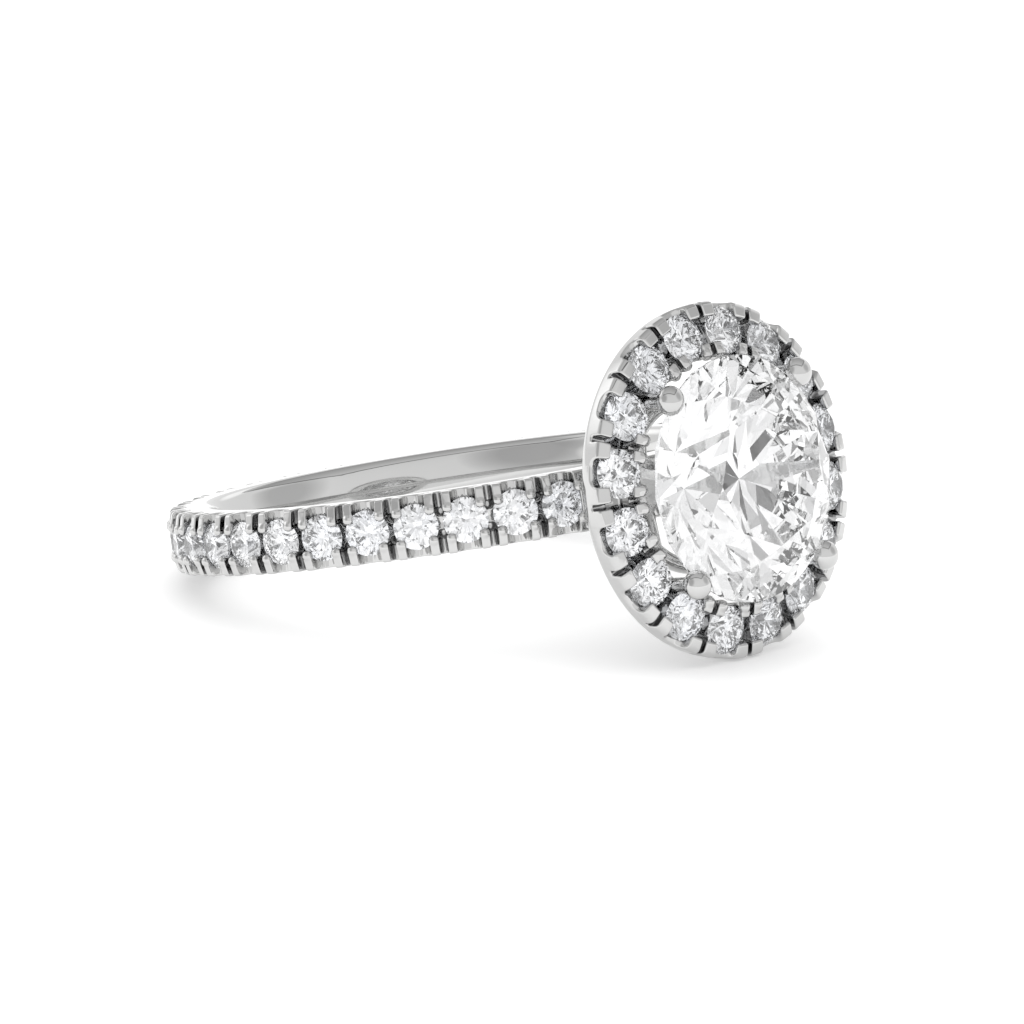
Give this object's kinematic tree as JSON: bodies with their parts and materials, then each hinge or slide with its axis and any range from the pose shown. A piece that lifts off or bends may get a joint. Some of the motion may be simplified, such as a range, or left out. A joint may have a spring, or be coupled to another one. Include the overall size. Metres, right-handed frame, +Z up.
{
  "type": "halo ring",
  "caption": "Halo ring for a finger: a round brilliant in ball-tipped claws, ringed by small stones, on a band paved with a row of stones.",
  "frame": {"origin": "centre of the lying ring's box, on the surface that it rests on", "axes": "+Z up from the surface; +X from the back of the band towards the head; the finger axis leans back from +Z by about 13 degrees, because the head's rim props that side up"},
  "size_m": [0.0248, 0.02, 0.0118],
  "materials": {
    "white_metal": "white precious metal, polished to a mirror",
    "centre_gem": "clear colourless faceted stone",
    "small_gems": "clear colourless small faceted stones"
  },
  "bodies": {
    "root": {"shank_and_setting": "white_metal", "centre_stone": "centre_gem", "halo_stones": "small_gems", "band_stones": "small_gems"}
  },
  "joints": []
}
